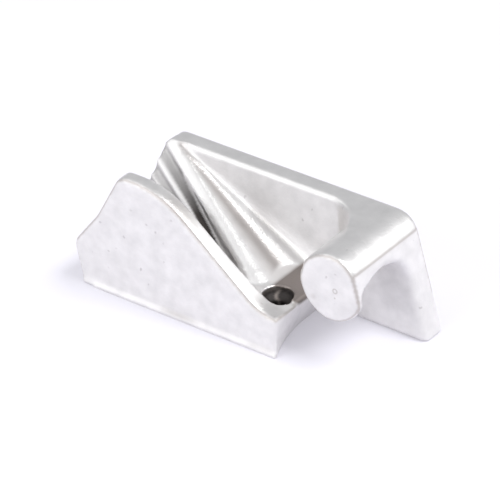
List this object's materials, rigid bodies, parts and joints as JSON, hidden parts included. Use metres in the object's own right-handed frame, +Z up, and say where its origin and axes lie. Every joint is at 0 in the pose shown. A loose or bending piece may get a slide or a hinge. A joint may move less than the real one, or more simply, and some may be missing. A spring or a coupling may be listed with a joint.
{
  "type": "jam cleat",
  "caption": "Side-entry jam cleat: two slanted, ribbed jaws grip a rope led out under a round keeper arm; cast in one piece and screwed flat to a deck.",
  "frame": {"origin": "middle of the footprint box, on the deck face", "axes": "+X along the cleat, from the jaws' toe to the keeper arm's end; +Y from the low wall to the high wall; +Z up from the deck"},
  "size_m": [0.0844, 0.0326, 0.033],
  "materials": {
    "body": "as cast on the sides, polished in the channel and on the upper edges"
  },
  "bodies": {
    "root": {"cleat_body": "body"}
  },
  "joints": []
}
